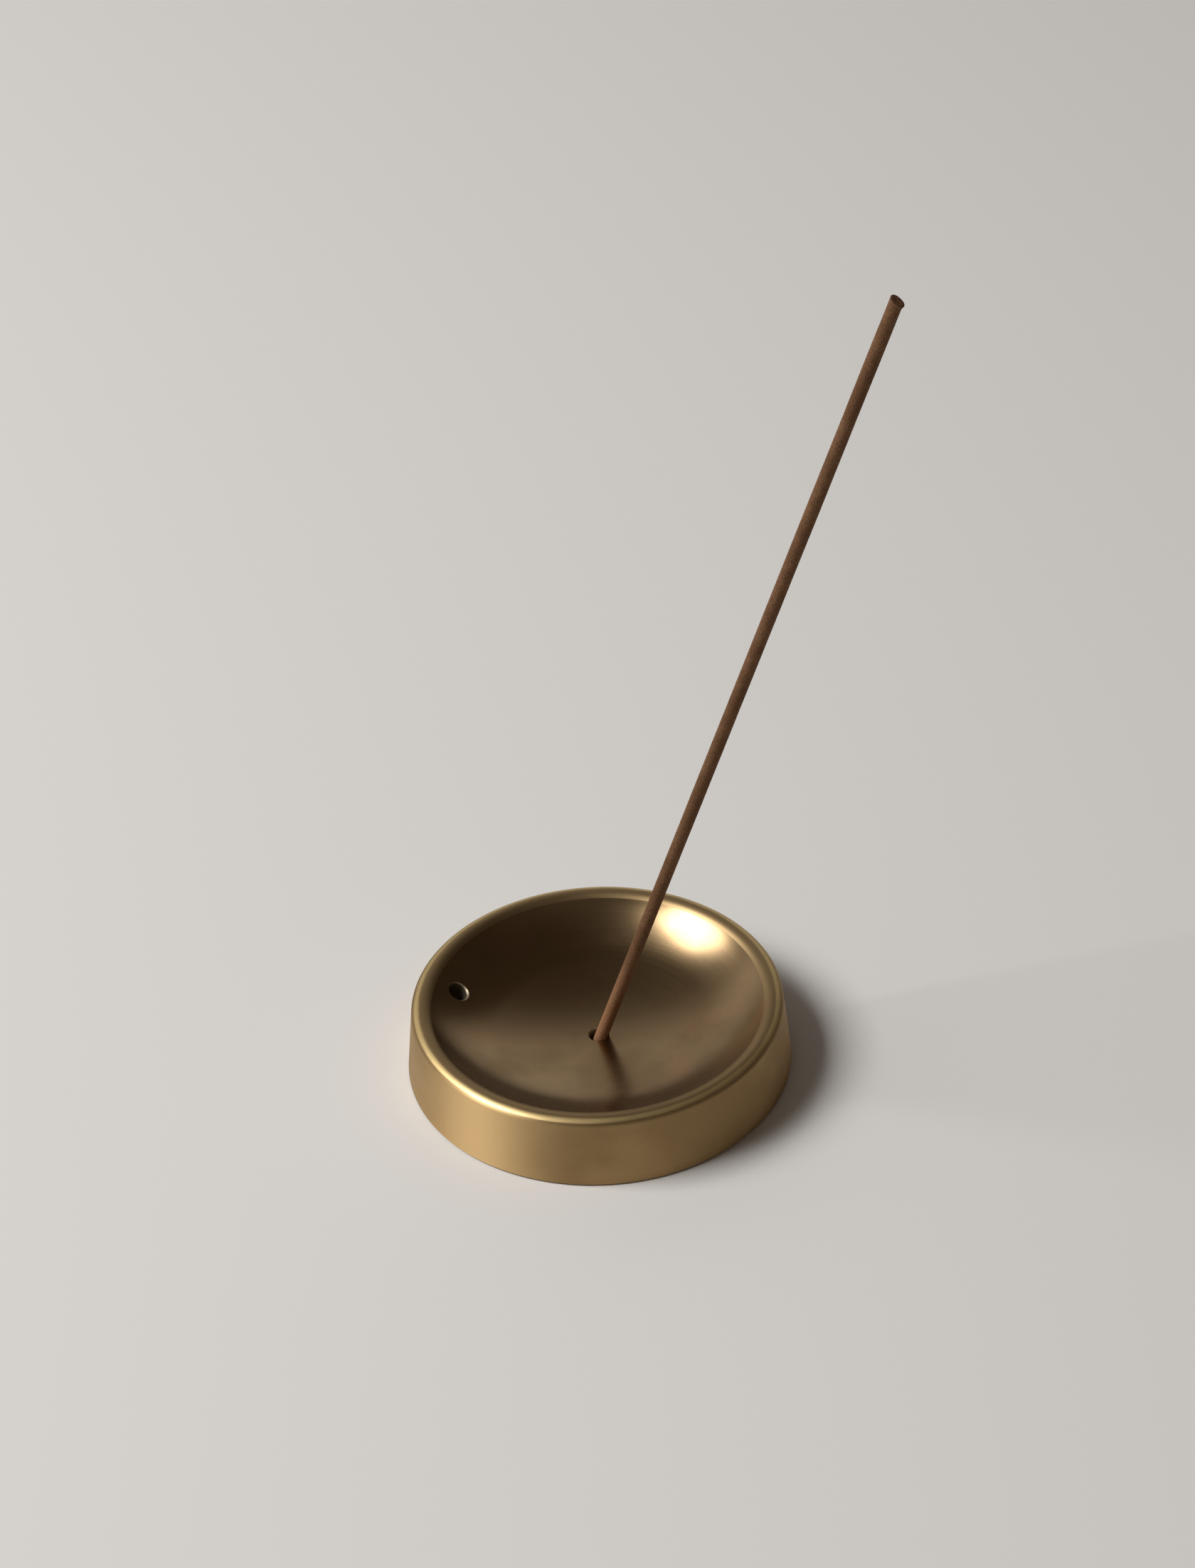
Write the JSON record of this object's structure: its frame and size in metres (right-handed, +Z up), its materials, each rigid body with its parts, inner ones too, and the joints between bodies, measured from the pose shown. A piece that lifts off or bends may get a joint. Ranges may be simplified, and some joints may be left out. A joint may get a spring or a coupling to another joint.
{
  "type": "incense burner",
  "caption": "Round turned brass incense dish with a shallow bowl, a rounded rim, a middle hole holding a loose leaning incense stick, and a slanted spare hole near the rim.",
  "frame": {"origin": "centre of the dish's flat base, on the surface it stands on", "axes": "+Z up. Both holes lie in the XZ plane: the slanted rim hole is on the -X side, and the stick leans towards +X"},
  "size_m": [0.0782, 0.06, 0.1431],
  "materials": {
    "dish_brass": "satin turned brass with a brown aged tone",
    "incense": "matt, dry and slightly rough pressed incense paste"
  },
  "bodies": {
    "dish": {"dish": "dish_brass"},
    "stick": {"stick": "incense"}
  },
  "joints": [
    {"name": "stick_lift", "type": "slide", "parent": "dish", "child": "stick", "axis": [0.3214, 0, 0.9469], "range_m": [0, 0.03]}
  ]
}
